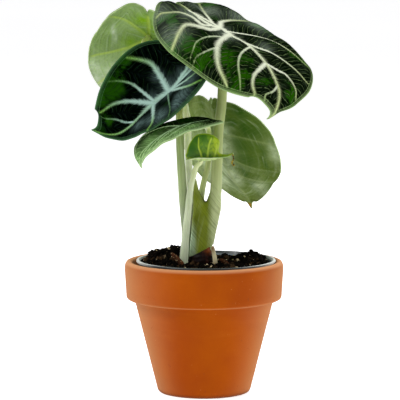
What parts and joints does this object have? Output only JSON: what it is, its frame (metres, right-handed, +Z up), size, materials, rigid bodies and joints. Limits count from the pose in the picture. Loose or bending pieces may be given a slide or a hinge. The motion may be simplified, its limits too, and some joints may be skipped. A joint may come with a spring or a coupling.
{
  "type": "potted black velvet alocasia",
  "caption": "Potted foliage plant with broad heart-shaped velvet leaves, pale veins and upright stalks, in a plastic grower's pot inside a round terracotta pot.",
  "frame": {"origin": "centre of the whole plant's box seen from above, at the surface that the clay pot stands on", "axes": "+Z up, along the clay pot's axis; +X to the right in the picture; +Y away from the viewer"},
  "size_m": [0.1712, 0.1781, 0.2955],
  "materials": {
    "clay": "matt unglazed terracotta",
    "plastic": "dark satin plastic",
    "soil": "moist loose potting soil",
    "corm": "rough reddish brown skin",
    "stalk": "smooth pale green",
    "velvet_leaf": "dark velvet with cream veins",
    "leaf_underside": "matt sage green",
    "young_leaf": "fresh green with yellow-green veins",
    "dry_growth": "dry papery brown"
  },
  "bodies": {
    "root": {"terracotta_pot": "clay", "grower_pot": "plastic", "soil": "soil", "corm": "corm", "stalk_a": "stalk", "stalk_b": "stalk", "stalk_c": "stalk", "stalk_d": "stalk", "stalk_e": "stalk", "stalk_f": "stalk", "blade_a": "velvet_leaf", "blade_b": "velvet_leaf", "blade_c": "leaf_underside", "blade_d": "leaf_underside", "blade_e": "velvet_leaf", "blade_f": "young_leaf", "stalk_stub": "stalk", "dry_scale_left": "dry_growth", "dry_scale_right": "dry_growth", "dry_thread": "dry_growth"}
  },
  "joints": []
}
